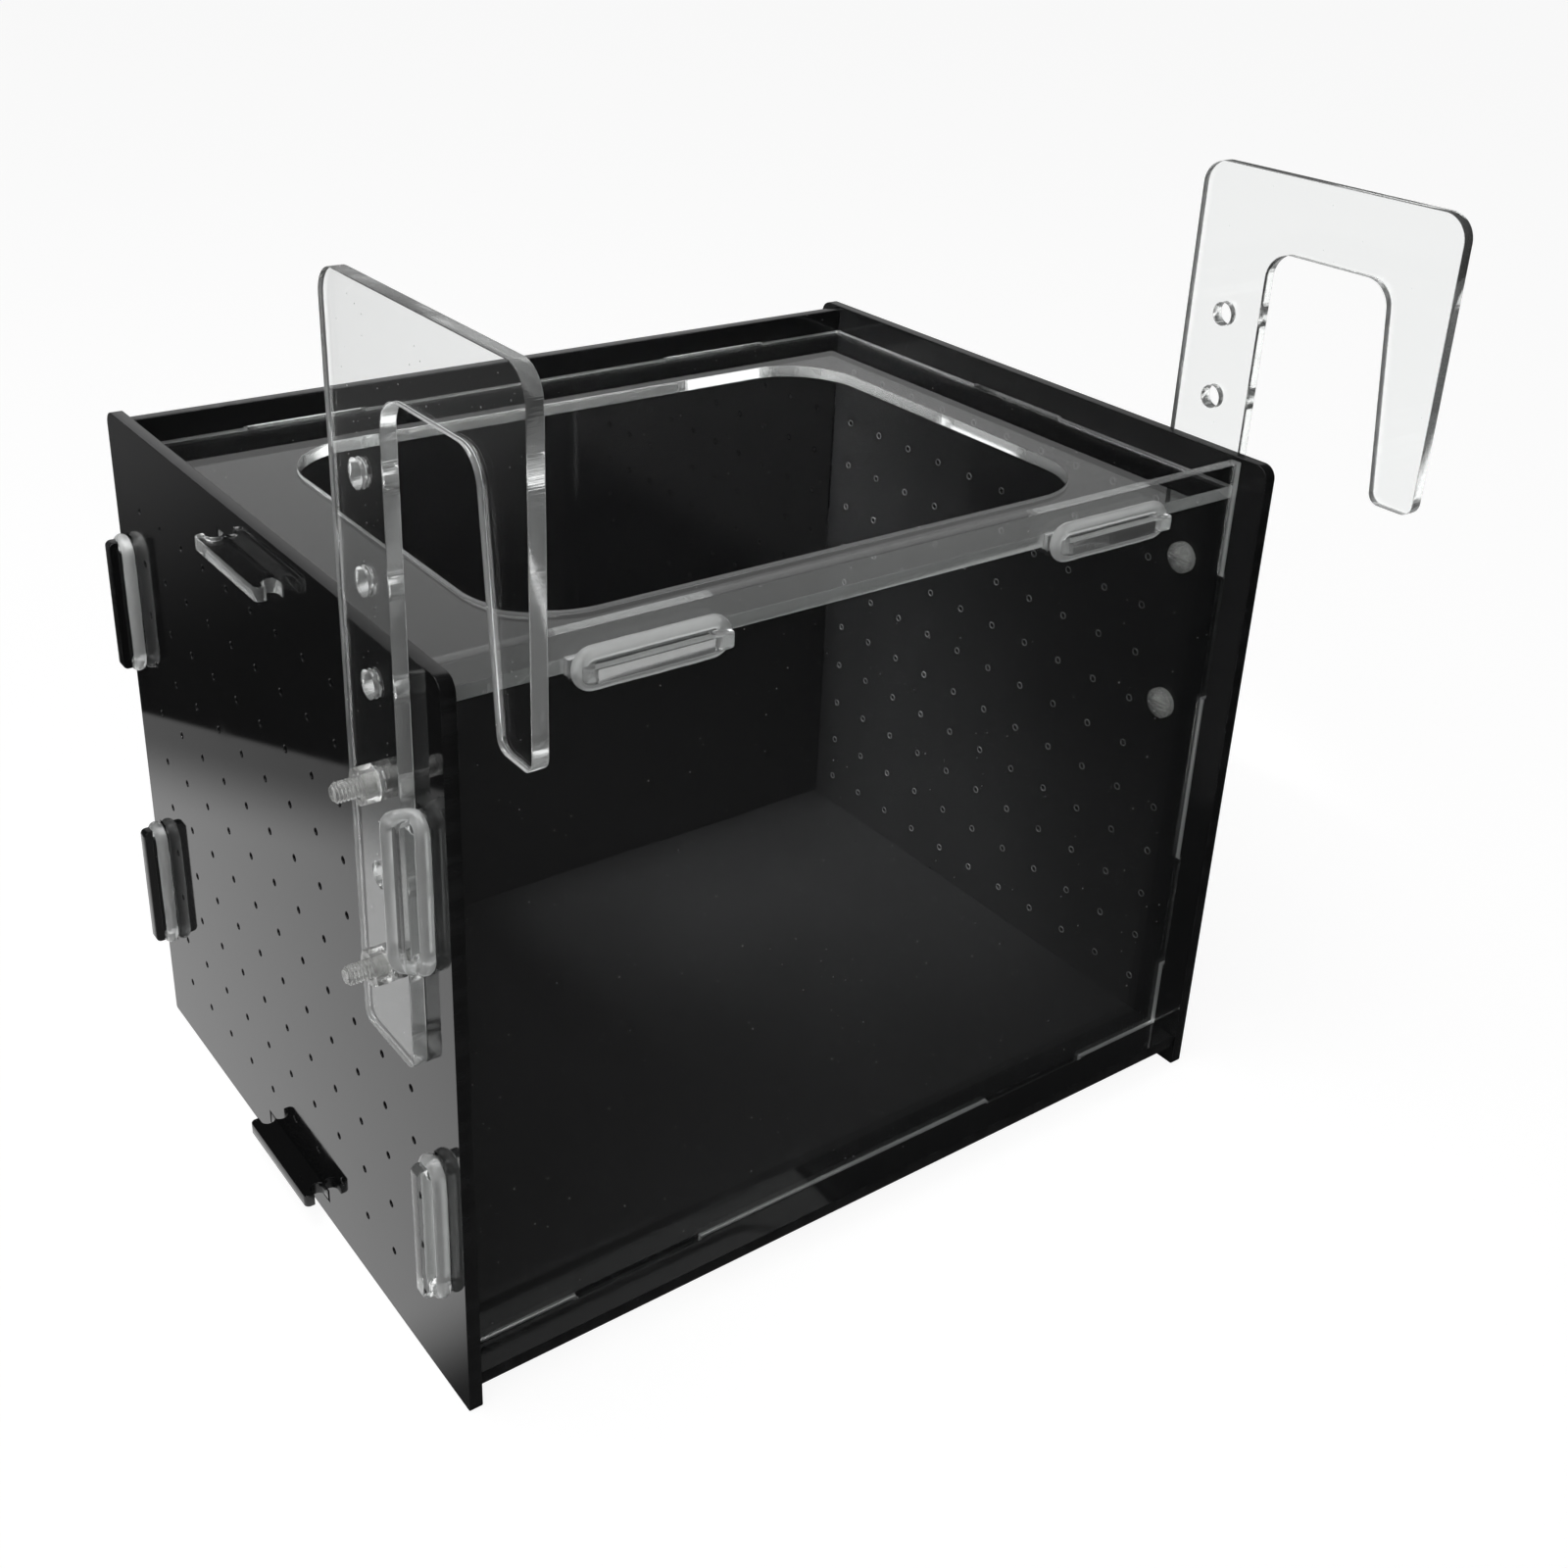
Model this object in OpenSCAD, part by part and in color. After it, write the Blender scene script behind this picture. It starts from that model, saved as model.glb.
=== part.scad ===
// Hang-on fish breeding box: six laser-cut acrylic sheets that key together with tabs and slots,
// elastic rings that lock the tabs, and two hooks bolted to the sides that hang it on a tank's rim.
// X runs left to right, Y from the tank wall to the back, Z up. The origin is at the middle of the
// whole object's footprint, on the ground.

/* [Side plates] */
// Width over the outer faces of the two side plates
box_w = 208.5; // [190:0.5:240]
// Depth of a side plate, from its front edge to its back edge
box_d = 164; // [155:0.5:190]
// Height of a side plate
box_h = 165; // [158:0.5:190]
// Thickness of every acrylic sheet, the hooks included
sheet_t = 3; // [2.8:0.1:3.2]
// Radius of a side plate's two top corners
top_corner_r = 3.3; // [1:0.1:6]
// Radius of a side plate's two bottom corners
foot_corner_r = 0.8; // [0.3:0.1:3]

/* [Panel places] */
// Front panel's front face, behind the side plates' front edges
front_inset = 7.6; // [7:0.1:9]
// Back plate's back face, in front of the side plates' back edges
back_inset = 5; // [4:0.1:8]
// Underside of the bottom panel above the ground
floor_gap = 5.6; // [5.4:0.1:9]
// Top face of the top panel below the side plates' top edges
top_inset = 6.8; // [5:0.1:10]
// Top edges of the front panel and back plate below the side plates' top edges
wall_top_inset = 0.9; // [0:0.1:3]
// Front and back edges of the bottom panel inside the side plates' edges
ledge_inset = 0.5; // [0:0.1:3]

/* [Tabs and slots] */
// Full width of a tab
tab_w = 32; // [28:0.5:36]
// How far a tab stands out past the sheet that it goes through
tab_out = 5.3; // [5:0.1:5.4]
// Radius of a tab's two outer corners
tab_corner_r = 1.3; // [0.5:0.1:1.6]
// Width of the round-bottomed notches that hold a ring
notch_w = 3.1; // [3:0.05:3.3]
// Depth of the notches, from a tab's side
notch_d = 3.3; // [2.5:0.1:4]
// Play at each end of a tab in its slot
slot_end_play = 0.8; // [0.2:0.1:1.5]
// Play on each face of a tab in its slot
slot_face_play = 0.15; // [0.05:0.05:0.3]
// Front, back and bottom tabs from the middle of the box, left and right
tab_x = 58.5; // [50:0.5:65]
// Height midway between the upper and lower side tabs of the front panel and back plate
tab_mid_z = 81.3; // [80:0.1:84]
// Those side tabs above and below that height
tab_z = 38.5; // [34:0.5:40]
// Middle of the top panel's side tabs behind the side plates' front edges
top_tab_y = 82; // [70:0.5:92]
// Middle of the bottom panel's side tabs behind the side plates' front edges
floor_tab_y = 83.5; // [70:0.5:92]

/* [Elastic rings] */
// Radius of a ring's round section
ring_r = 1.5; // [1.3:0.05:1.5]
// Gap between a notch's bottom and the centre of the ring's end loop
ring_slack = 0.1; // [0:0.1:3]
// On the rings that lie over a hook's edge, rise of the back run off the hook's outer face
ring_lift = 0.65; // [0.6:0.05:1]

/* [Top opening] */
// Width of the rounded opening in the top panel
opening_w = 153.5; // [120:0.5:160]
// Depth of the opening, front to back
opening_d = 110.5; // [80:0.5:118]
// Radius of the opening's corners
opening_r = 19; // [8:0.5:30]
// Middle of the opening behind the side plates' front edges
opening_y = 81.7; // [78:0.1:85]

/* [Perforations] */
// Diameter of a water hole in a side plate
hole_d = 1.5; // [1:0.1:3]
// Distance from one water hole to the next, both ways
hole_pitch = 12.8; // [11:0.1:14]
// Columns of water holes
hole_columns = 11; // [6:1:11]
// Rows of water holes
hole_rows = 11; // [6:1:11]
// First column behind the side plate's front edge
hole_first_y = 19.9; // [18:0.1:24]
// Lowest row above the ground
hole_first_z = 17.5; // [14:0.1:20]
// Rows that the first column has, below the hook
front_column_rows = 5; // [1:1:5]

/* [Hooks] */
// Long leg's front edge behind the side plate's front edge
hook_front_y = 11.5; // [11.5:0.1:14]
// Width of the long leg
long_leg_w = 21; // [18:0.5:26]
// Top edge of a hook above the ground
hook_top_z = 228; // [215:0.5:240]
// Lower end of the long leg above the ground
long_leg_z = 79; // [70:0.5:88]
// Height of the bar that joins the legs
hook_bar_h = 16.7; // [12:0.1:20]
// Clear width between the legs under the bar
hook_gap_w = 31.6; // [25:0.1:36]
// Width of the short leg at the bar
short_leg_top_w = 15.7; // [12:0.1:20]
// Width of the short leg at its lower end
short_leg_end_w = 11.2; // [9:0.1:12]
// Lower end of the short leg above the ground
short_leg_z = 164.5; // [150:0.5:180]
// Radius of the hook's outer top corners
hook_corner_r = 5.6; // [3:0.1:8]
// Radius of the hook's two inside corners
hook_inside_r = 6; // [3:0.1:8]
// Radius of the legs' lower corners
leg_end_r = 2.8; // [1:0.1:4]

/* [Screws and nuts] */
// Highest adjustment hole above the ground
hook_hole_top_z = 194.7; // [190:0.1:200]
// Distance from one adjustment hole to the next
hook_hole_pitch = 19.4; // [18:0.1:20]
// Adjustment holes in a hook
hook_hole_count = 6; // [6:1:6]
// Diameter of the adjustment holes
hook_hole_d = 5.2; // [4.7:0.1:6]
// Hole that takes the upper screw, counted from the top
upper_hole_no = 4; // [4:1:4]
// Hole that takes the lower screw
lower_hole_no = 6; // [6:1:6]
// Diameter of the screw holes in the side plates
plate_hole_d = 4.6; // [4.6:0.1:5.2]
// Outside diameter of a screw's thread
screw_d = 4; // [4:0.1:4]
// Length of a screw under its head
screw_l = 14; // [13:0.5:16]
// Diameter of a screw's head
head_d = 7.6; // [7:0.1:8]
// Height of a screw's head
head_h = 2.6; // [2:0.1:3]
// Width of the screwdriver slot
driver_slot_w = 1.1; // [0.8:0.1:1.4]
// Depth of the screwdriver slot
driver_slot_d = 1.2; // [0.8:0.1:1.5]
// Distance across a nut's flats
nut_flats = 7; // [6.8:0.1:7.4]
// Thickness of a nut
nut_t = 3.2; // [2.8:0.1:3.4]
// Gap all round a screw in its nut
thread_gap = 0.05; // [0.02:0.01:0.08]

/* [Hidden] */

acrylic_black = [0.03, 0.03, 0.035];
acrylic_clear = [0.86, 0.9, 0.9, 0.35];
ring_clear = [0.9, 0.92, 0.9, 0.6];
nylon_clear = [0.92, 0.92, 0.88, 0.8];

left = -1;
right = 1;
upper = 1;
lower = -1;
cut = 1;
round_fn = 64;
small_fn = 32;
hex_fn = 6;

inner_w = box_w - 2 * sheet_t;
front_face_y = front_inset;
front_back_y = front_inset + sheet_t;
back_face_y = box_d - back_inset;
back_front_y = back_face_y - sheet_t;
front_ring_y = front_face_y - notch_w / 2;
back_ring_y = back_face_y + notch_w / 2;
floor_top_z = floor_gap + sheet_t;
lid_top_z = box_h - top_inset;
lid_under_z = lid_top_z - sheet_t;
wall_top_z = box_h - wall_top_inset;
slot_l = tab_w + 2 * slot_end_play;
slot_t = sheet_t + 2 * slot_face_play;

hook_tip_y = hook_front_y - hook_gap_w - short_leg_top_w;
hook_under_z = hook_top_z - hook_bar_h;
gap_front_y = hook_tip_y + short_leg_top_w;
short_leg_back_y = hook_tip_y + short_leg_end_w;
// The short leg's back edge slants in towards its lower end
short_leg_slant = atan2(gap_front_y - short_leg_back_y, hook_under_z - short_leg_z - leg_end_r);
slant_fillet_y = gap_front_y + hook_inside_r * (1 / cos(short_leg_slant) - tan(short_leg_slant));
hole_y = hook_front_y + long_leg_w / 2;
object_back_y = max(box_d, back_face_y + tab_out);
// Middle of the footprint behind the side plates' front edges
mid_y = (object_back_y + hook_tip_y) / 2;

function hook_hole_z(number) = hook_hole_top_z - (number - 1) * hook_hole_pitch;
upper_screw_z = hook_hole_z(upper_hole_no);
lower_screw_z = hook_hole_z(lower_hole_no);
head_dome_r = head_d * 0.8;

ring_turn_r = sheet_t / 2 + ring_r;
ring_half_l = tab_w / 2 - notch_d + ring_slack;
// The tilted rings: one run in the notches, the other on the hook's outer face
tilt_rise = sheet_t + ring_lift;
tilt_reach = 2 * ring_turn_r;
ring_tilt = atan2(tilt_rise, tilt_reach);
tilted_turn_r = sqrt(pow(tilt_rise, 2) + pow(tilt_reach, 2)) / 2;
tilted_half_l = tab_w / 2;

// Drawings of upright sheets seen from the side have u backwards and v upwards
module water_holes() {
    for (column = [0 : hole_columns - 1])
        for (row = [0 : (column == 0 ? front_column_rows : hole_rows) - 1])
            translate([hole_first_y + column * hole_pitch, hole_first_z + row * hole_pitch])
                circle(d = hole_d, $fn = small_fn);
}

module rounded_square(size, radius) {
    translate([radius, 0])
        square([size[0] - 2 * radius, size[1]]);
    translate([0, radius])
        square([size[0], size[1] - 2 * radius]);
    for (u = [radius, size[0] - radius], v = [radius, size[1] - radius])
        translate([u, v])
            circle(r = radius, $fn = round_fn);
}

// A tab that points along +v; v = 0 is the outer face of the sheet that it goes through
module tab() {
    difference() {
        union() {
            translate([-tab_w / 2, -sheet_t - cut])
                square([tab_w, sheet_t + cut + tab_out - tab_corner_r]);
            translate([-tab_w / 2 + tab_corner_r, 0])
                square([tab_w - 2 * tab_corner_r, tab_out]);
            for (side = [left, right])
                translate([side * (tab_w / 2 - tab_corner_r), tab_out - tab_corner_r])
                    circle(r = tab_corner_r, $fn = small_fn);
        }
        for (side = [left, right]) {
            translate([side * (tab_w / 2 - notch_d + notch_w / 2), notch_w / 2])
                circle(d = notch_w, $fn = small_fn);
            translate([side * (tab_w / 2 + cut / 2), notch_w / 2])
                square([2 * notch_d - notch_w + cut, notch_w], center = true);
        }
    }
}

module slot(across) {
    square(across ? [slot_t, slot_l] : [slot_l, slot_t], center = true);
}

// Lays a drawing of u backwards and v upwards against the plane x = 0, thick towards +X
module in_side_plane() {
    rotate([90, 0, 90])
        linear_extrude(sheet_t)
            children();
}

// Stands a drawing of x and z upright, its front face at the given depth
module in_wall_plane(face_y) {
    translate([0, face_y + sheet_t - mid_y, 0])
        rotate([90, 0, 0])
            linear_extrude(sheet_t)
                children();
}

// Lays a drawing of x and y flat, its underside at the given height
module in_floor_plane(under_z) {
    translate([0, -mid_y, under_z])
        linear_extrude(sheet_t)
            children();
}

module side_plate_drawing() {
    difference() {
        union() {
            rounded_square([box_d, box_h - top_corner_r], foot_corner_r);
            translate([0, top_corner_r])
                rounded_square([box_d, box_h - top_corner_r], top_corner_r);
        }
        water_holes();
        for (level = [upper, lower])
            for (wall_y = [front_face_y, back_front_y])
                translate([wall_y + sheet_t / 2, tab_mid_z + level * tab_z])
                    slot(true);
        translate([top_tab_y, lid_under_z + sheet_t / 2])
            slot(false);
        translate([floor_tab_y, floor_gap + sheet_t / 2])
            slot(false);
        for (screw_z = [upper_screw_z, lower_screw_z])
            translate([hole_y, screw_z])
                circle(d = plate_hole_d, $fn = round_fn);
    }
}

module side_plate(side) {
    color(acrylic_black)
        translate([side == left ? -box_w / 2 : box_w / 2 - sheet_t, -mid_y, 0])
            in_side_plane()
                side_plate_drawing();
}

module wall_drawing() {
    translate([-inner_w / 2, floor_top_z])
        square([inner_w, wall_top_z - floor_top_z]);
    for (side = [left, right])
        for (level = [upper, lower])
            translate([side * box_w / 2, tab_mid_z + level * tab_z])
                rotate(-side * 90)
                    tab();
    for (side = [left, right])
        translate([side * tab_x, floor_gap])
            rotate(180)
                tab();
}

module wall_with_slots() {
    difference() {
        wall_drawing();
        for (side = [left, right])
            translate([side * tab_x, lid_under_z + sheet_t / 2])
                slot(false);
    }
}

module front_panel() {
    color(acrylic_clear)
        in_wall_plane(front_face_y)
            wall_with_slots();
}

module back_plate() {
    color(acrylic_black)
        in_wall_plane(back_front_y)
            wall_with_slots();
}

module side_tabs(tab_y) {
    for (side = [left, right])
        translate([side * box_w / 2, tab_y])
            rotate(-side * 90)
                tab();
}

module top_panel() {
    color(acrylic_clear)
        in_floor_plane(lid_under_z)
            difference() {
                union() {
                    translate([-inner_w / 2, front_back_y])
                        square([inner_w, back_front_y - front_back_y]);
                    side_tabs(top_tab_y);
                    for (side = [left, right]) {
                        translate([side * tab_x, front_face_y])
                            rotate(180)
                                tab();
                        translate([side * tab_x, back_face_y])
                            tab();
                    }
                }
                translate([-opening_w / 2, opening_y - opening_d / 2])
                    rounded_square([opening_w, opening_d], opening_r);
            }
}

module bottom_panel() {
    color(acrylic_black)
        in_floor_plane(floor_gap)
            difference() {
                union() {
                    translate([-inner_w / 2, ledge_inset])
                        square([inner_w, box_d - 2 * ledge_inset]);
                    side_tabs(floor_tab_y);
                }
                for (side = [left, right])
                    for (wall_y = [front_face_y, back_front_y])
                        translate([side * tab_x, wall_y + sheet_t / 2])
                            slot(false);
            }
}

// Square corner piece with its round cut away, for an inside corner
module inside_fillet(radius) {
    difference() {
        square(radius);
        translate([radius, radius])
            circle(r = radius, $fn = round_fn);
    }
}

// The same for the corner between the bar and the short leg's slanted back edge
module slanted_fillet() {
    centre_z = hook_under_z - hook_inside_r;
    difference() {
        polygon([
            [gap_front_y, hook_under_z],
            [slant_fillet_y, hook_under_z],
            [slant_fillet_y, centre_z],
            [slant_fillet_y - hook_inside_r * cos(short_leg_slant),
                centre_z + hook_inside_r * sin(short_leg_slant)]
        ]);
        translate([slant_fillet_y, centre_z])
            circle(r = hook_inside_r, $fn = round_fn);
    }
}

module short_leg_drawing() {
    polygon([
        [hook_tip_y, short_leg_z + leg_end_r],
        [short_leg_back_y, short_leg_z + leg_end_r],
        [gap_front_y, hook_under_z],
        [gap_front_y, hook_under_z + hook_corner_r],
        [hook_tip_y, hook_under_z + hook_corner_r]
    ]);
    translate([hook_tip_y + leg_end_r, short_leg_z])
        square([short_leg_end_w - 2 * leg_end_r, 2 * leg_end_r]);
    for (corner_y = [hook_tip_y + leg_end_r, short_leg_back_y - leg_end_r])
        translate([corner_y, short_leg_z + leg_end_r])
            circle(r = leg_end_r, $fn = round_fn);
}

module hook_drawing() {
    difference() {
        union() {
            translate([hook_front_y, long_leg_z])
                rounded_square([long_leg_w, hook_under_z + hook_corner_r - long_leg_z], leg_end_r);
            translate([hook_tip_y, hook_under_z - hook_corner_r])
                intersection() {
                    rounded_square([short_leg_top_w + hook_gap_w + long_leg_w,
                        hook_bar_h + hook_corner_r], hook_corner_r);
                    translate([0, hook_corner_r])
                        square([short_leg_top_w + hook_gap_w + long_leg_w, hook_bar_h]);
                }
            short_leg_drawing();
            translate([hook_front_y, hook_under_z])
                rotate(180)
                    inside_fillet(hook_inside_r);
            slanted_fillet();
        }
        for (number = [1 : hook_hole_count])
            translate([hole_y, hook_hole_z(number)])
                circle(d = hook_hole_d, $fn = round_fn);
    }
}

module hook(side) {
    color(acrylic_clear)
        translate([side == left ? -box_w / 2 - sheet_t : box_w / 2, -mid_y, 0])
            in_side_plane()
                hook_drawing();
}

// Puts a part drawn along +Z on a screw's axis, +Z outwards, z = 0 at the plate's inner face
module on_screw_axis(side, screw_z) {
    translate([side * inner_w / 2, hole_y - mid_y, screw_z])
        rotate([0, side * 90, 0])
            children();
}

module screw(side, screw_z) {
    color(nylon_clear)
        on_screw_axis(side, screw_z) {
            cylinder(d = screw_d, h = screw_l, $fn = round_fn);
            difference() {
                intersection() {
                    translate([0, 0, -head_h])
                        cylinder(d = head_d, h = head_h, $fn = round_fn);
                    translate([0, 0, head_dome_r - head_h])
                        sphere(r = head_dome_r, $fn = round_fn);
                }
                translate([-driver_slot_w / 2, -head_d, -head_h - cut])
                    cube([driver_slot_w, 2 * head_d, driver_slot_d + cut]);
            }
        }
}

module nut(side, screw_z) {
    color(nylon_clear)
        on_screw_axis(side, screw_z)
            translate([0, 0, 2 * sheet_t])
                difference() {
                    cylinder(d = nut_flats / cos(180 / hex_fn), h = nut_t, $fn = hex_fn);
                    translate([0, 0, -cut])
                        cylinder(d = screw_d + 2 * thread_gap, h = nut_t + 2 * cut, $fn = round_fn);
                }
}

// A ring drawn round a tab: runs along X on both faces of the sheet, end loops at both sides
module ring_loop(half_l, turn_r) {
    for (face = [left, right])
        translate([-half_l, 0, face * turn_r])
            rotate([0, 90, 0])
                cylinder(r = ring_r, h = 2 * half_l, $fn = small_fn);
    for (side = [left, right])
        translate([side * half_l, 0, 0])
            rotate([90, 0, 0])
                rotate([0, 0, -side * 90])
                    rotate_extrude(angle = 180, $fn = round_fn)
                        translate([turn_r, 0])
                            circle(r = ring_r, $fn = small_fn);
}

// Ring on a tab that points left or right, round an upright panel
module side_ring(side, level, wall_y) {
    color(ring_clear)
        translate([side * (box_w / 2 + notch_w / 2), wall_y + sheet_t / 2 - mid_y,
            tab_mid_z + level * tab_z])
            rotate([0, 90, 0])
                rotate([90, 0, 0])
                    ring_loop(ring_half_l, ring_turn_r);
}

// Ring whose back run lies over the hook's edge, so that it leans outwards
module leaning_ring(side) {
    color(ring_clear)
        translate([side * (box_w / 2 + (notch_w + tilt_rise) / 2),
            front_face_y + sheet_t / 2 - mid_y, tab_mid_z + tab_z])
            rotate([0, 0, -side * ring_tilt])
                rotate([0, 90, 0])
                    rotate([90, 0, 0])
                        ring_loop(tilted_half_l, tilted_turn_r);
}

// Ring on a tab that points forwards or backwards, round the top panel
module top_ring(side, ring_y) {
    color(ring_clear)
        translate([side * tab_x, ring_y - mid_y, lid_under_z + sheet_t / 2])
            ring_loop(ring_half_l, ring_turn_r);
}

// Ring on a tab that points down, under the bottom panel
module bottom_ring(side, wall_y) {
    color(ring_clear)
        translate([side * tab_x, wall_y + sheet_t / 2 - mid_y, floor_gap - notch_w / 2])
            rotate([90, 0, 0])
                ring_loop(ring_half_l, ring_turn_r);
}

side_plate(left);  // left_side_plate
side_plate(right);  // right_side_plate
back_plate();
front_panel();
top_panel();
bottom_panel();
hook(left);  // left_hook
hook(right);  // right_hook
screw(left, upper_screw_z);  // left_upper_screw
screw(left, lower_screw_z);  // left_lower_screw
screw(right, upper_screw_z);  // right_upper_screw
screw(right, lower_screw_z);  // right_lower_screw
nut(left, upper_screw_z);  // left_upper_nut
nut(left, lower_screw_z);  // left_lower_nut
nut(right, upper_screw_z);  // right_upper_nut
nut(right, lower_screw_z);  // right_lower_nut
leaning_ring(left);  // front_left_upper_ring
side_ring(left, lower, front_face_y);  // front_left_lower_ring
leaning_ring(right);  // front_right_upper_ring
side_ring(right, lower, front_face_y);  // front_right_lower_ring
side_ring(left, upper, back_front_y);  // back_left_upper_ring
side_ring(left, lower, back_front_y);  // back_left_lower_ring
side_ring(right, upper, back_front_y);  // back_right_upper_ring
side_ring(right, lower, back_front_y);  // back_right_lower_ring
top_ring(left, front_ring_y);  // top_front_left_ring
top_ring(right, front_ring_y);  // top_front_right_ring
top_ring(left, back_ring_y);  // top_back_left_ring
top_ring(right, back_ring_y);  // top_back_right_ring
bottom_ring(left, front_face_y);  // bottom_front_left_ring
bottom_ring(right, front_face_y);  // bottom_front_right_ring
bottom_ring(left, back_front_y);  // bottom_back_left_ring
bottom_ring(right, back_front_y);  // bottom_back_right_ring
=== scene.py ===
"""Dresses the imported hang-on fish breeding box: cut acrylic sheets, moulded screws and elastic rings.

The box is knocked down from laser-cut acrylic. Every sheet is rebuilt here from its own outline with
eased edges, so that the cut walls and the polished faces have finishes of their own. Screws, elastic
rings and the melted lips of the holes come from small node trees with named sizes, and the nuts from
rings of points.
"""

import sys

import logging
import math
from dataclasses import dataclass, field
from enum import Enum
from typing import Any

import bmesh
import bpy
from bmesh.types import BMesh, BMVert
from bpy.types import ID, Material, Mesh, Node, NodeOutputs, NodeSocket, NodeTree, Object
from mathutils import Euler, Matrix, Vector
from mathutils.geometry import delaunay_2d_cdt


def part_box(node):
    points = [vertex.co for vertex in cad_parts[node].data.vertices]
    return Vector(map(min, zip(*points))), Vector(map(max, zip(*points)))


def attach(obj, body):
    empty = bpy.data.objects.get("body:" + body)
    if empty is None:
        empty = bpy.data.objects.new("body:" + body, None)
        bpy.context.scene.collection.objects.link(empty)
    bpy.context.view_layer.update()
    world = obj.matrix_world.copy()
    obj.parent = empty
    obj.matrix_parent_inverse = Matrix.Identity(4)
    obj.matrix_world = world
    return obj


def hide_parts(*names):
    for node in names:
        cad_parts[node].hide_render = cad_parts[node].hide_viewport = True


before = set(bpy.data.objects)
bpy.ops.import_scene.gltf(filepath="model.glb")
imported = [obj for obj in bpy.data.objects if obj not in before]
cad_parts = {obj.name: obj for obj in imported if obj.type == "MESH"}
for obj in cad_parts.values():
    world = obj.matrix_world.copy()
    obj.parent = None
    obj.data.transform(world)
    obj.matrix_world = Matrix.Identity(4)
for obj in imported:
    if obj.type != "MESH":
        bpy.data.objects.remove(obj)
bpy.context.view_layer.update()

LOG = logging.getLogger("breeding_box")
MM = 0.001
INSIDE_WITH_HOLES = 2
ACRYLIC_IOR = 1.49
MIX_COLOURS = (6, 7)
MIX_RESULT = 2
SOCKET_KINDS = {float: "NodeSocketFloat", int: "NodeSocketInt", tuple: "NodeSocketVector"}
PLACING = {"Place": (0.0, 0.0, 0.0), "Tilt": (0.0, 0.0, 0.0)}
Inputs = dict[Any, Any]
Loop = list[Vector]
Ring = list[BMVert]
Span = tuple[float, float]
Change = tuple[float, float, float, float]
Colour = tuple[float, float, float]
Triple = tuple[float, float, float]


class Word(Enum):
    """A choice whose name is also a word in the names of pieces."""

    @property
    def label(self) -> str:
        """The word."""
        return self.name.lower()


class Side(Word):
    """Which side of the box a piece belongs to, and which way is outwards along X."""

    LEFT = -1
    RIGHT = 1


class Level(Word):
    """Lower or upper one of a pair."""

    LOWER = -1
    UPPER = 1


class Axis(Word):
    """The direction of a sheet's thickness."""

    X = 0
    Y = 1
    Z = 2

    @property
    def across(self) -> tuple[int, int]:
        """The two other axes, in right-handed order."""
        return ((self.value + 1) % 3, (self.value + 2) % 3)

    @property
    def flattened(self) -> Triple:
        """Scales that keep a pattern from changing through the sheet."""
        return tuple(0.0 if i == self.value else 1.0 for i in range(3))


def toned(colour: Colour, tone: float) -> Colour:
    """Makes a colour darker or lighter."""
    return tuple(part * tone for part in colour)


def linked(name: str, data: ID) -> Object:
    """Makes an object and links it to the scene.

    Args:
        name: The object's name.
        data: Its mesh, light or camera.

    Returns:
        The object.
    """
    thing = bpy.data.objects.new(name, data)
    bpy.context.scene.collection.objects.link(thing)
    return thing


def declare(tree: NodeTree, inputs: Inputs) -> None:
    """Gives a group its named inputs.

    Args:
        tree: The group.
        inputs: The default value by input name; its type is also the socket's.
    """
    for label, default in inputs.items():
        kind = SOCKET_KINDS[type(default)]
        tree.interface.new_socket(label, in_out="INPUT", socket_type=kind).default_value = default


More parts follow.
